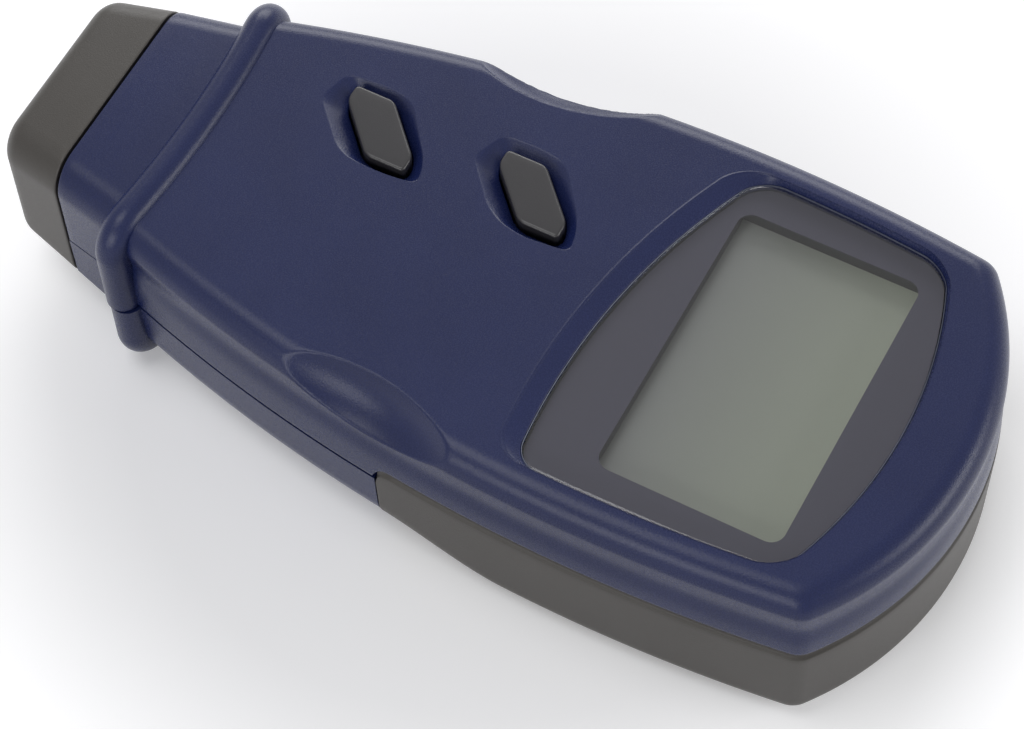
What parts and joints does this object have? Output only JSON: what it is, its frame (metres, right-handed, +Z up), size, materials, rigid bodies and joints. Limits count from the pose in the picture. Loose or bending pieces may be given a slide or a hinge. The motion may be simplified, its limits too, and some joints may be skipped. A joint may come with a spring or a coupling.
{
  "type": "laser tachometer",
  "caption": "Hand-held laser tachometer with a wide display window, push keys, a nose with its optics and a sliding battery cover.",
  "frame": {"origin": "middle of the length and width, on the surface that the tachometer lies on", "axes": "+Y from the display end to the nose, +Z up out of the face with the display and keys, +X to the right when the nose points away"},
  "size_m": [0.072, 0.158, 0.037],
  "materials": {
    "shell": "fine grained satin navy",
    "grey_plastic": "fine grained satin grey",
    "window": "gloss clear sheet, printed behind",
    "black_plastic": "satin",
    "display": "grey-green display face",
    "strips": "matte",
    "board": "green solder resist",
    "steel": "bright plated",
    "sleeve": "shrunk sleeve",
    "key_rubber": "matte moulded rubber",
    "plunger": "satin",
    "red_window": "polished filter",
    "clear": "polished",
    "brass": "turned",
    "cells": "plain printed sleeve"
  },
  "bodies": {
    "case": {"top_case": "shell", "bottom_case": "shell", "nose_cap": "grey_plastic", "display_lens": "window", "lcd_frame": "black_plastic", "lcd_glass": "display", "contact_strips": "strips", "main_board": "board", "processor_chip": "black_plastic", "crystal_can": "steel", "filter_capacitor": "sleeve", "read_switch": "black_plastic", "memory_switch": "black_plastic", "optics_holder": "black_plastic", "nose_window": "red_window", "receiver_lens": "clear", "photodiode": "black_plastic", "laser_barrel": "brass", "laser_lens": "clear", "optic_leads": "steel", "battery_cells": "cells", "contact_springs": "steel", "link_plates": "steel", "terminal_plates": "steel", "case_screws": "steel", "board_screws": "steel"},
    "read_button": {"read_button": "key_rubber"},
    "memory_button": {"memory_button": "key_rubber"},
    "read_plunger": {"read_plunger": "plunger"},
    "memory_plunger": {"memory_plunger": "plunger"},
    "battery_cover": {"battery_cover": "grey_plastic"}
  },
  "joints": [
    {"name": "read_press", "type": "slide", "parent": "case", "child": "read_button", "axis": [0, 0, -1], "range_m": [0, 0.0005], "stiffness_N_per_m": 3000},
    {"name": "read_plunge", "type": "slide", "parent": "case", "child": "read_plunger", "axis": [0, 0, -1], "range_m": [0, 0.0005]},
    {"name": "memory_press", "type": "slide", "parent": "case", "child": "memory_button", "axis": [0, 0, -1], "range_m": [0, 0.0005], "stiffness_N_per_m": 3000},
    {"name": "memory_plunge", "type": "slide", "parent": "case", "child": "memory_plunger", "axis": [0, 0, -1], "range_m": [0, 0.0005]},
    {"name": "cover_slide", "type": "slide", "parent": "case", "child": "battery_cover", "axis": [0, -1, 0], "range_m": [0, 0.085]}
  ],
  "couplings": [
    {"joint": "read_plunge", "follows": "read_press", "ratio": 1},
    {"joint": "memory_plunge", "follows": "memory_press", "ratio": 1}
  ]
}
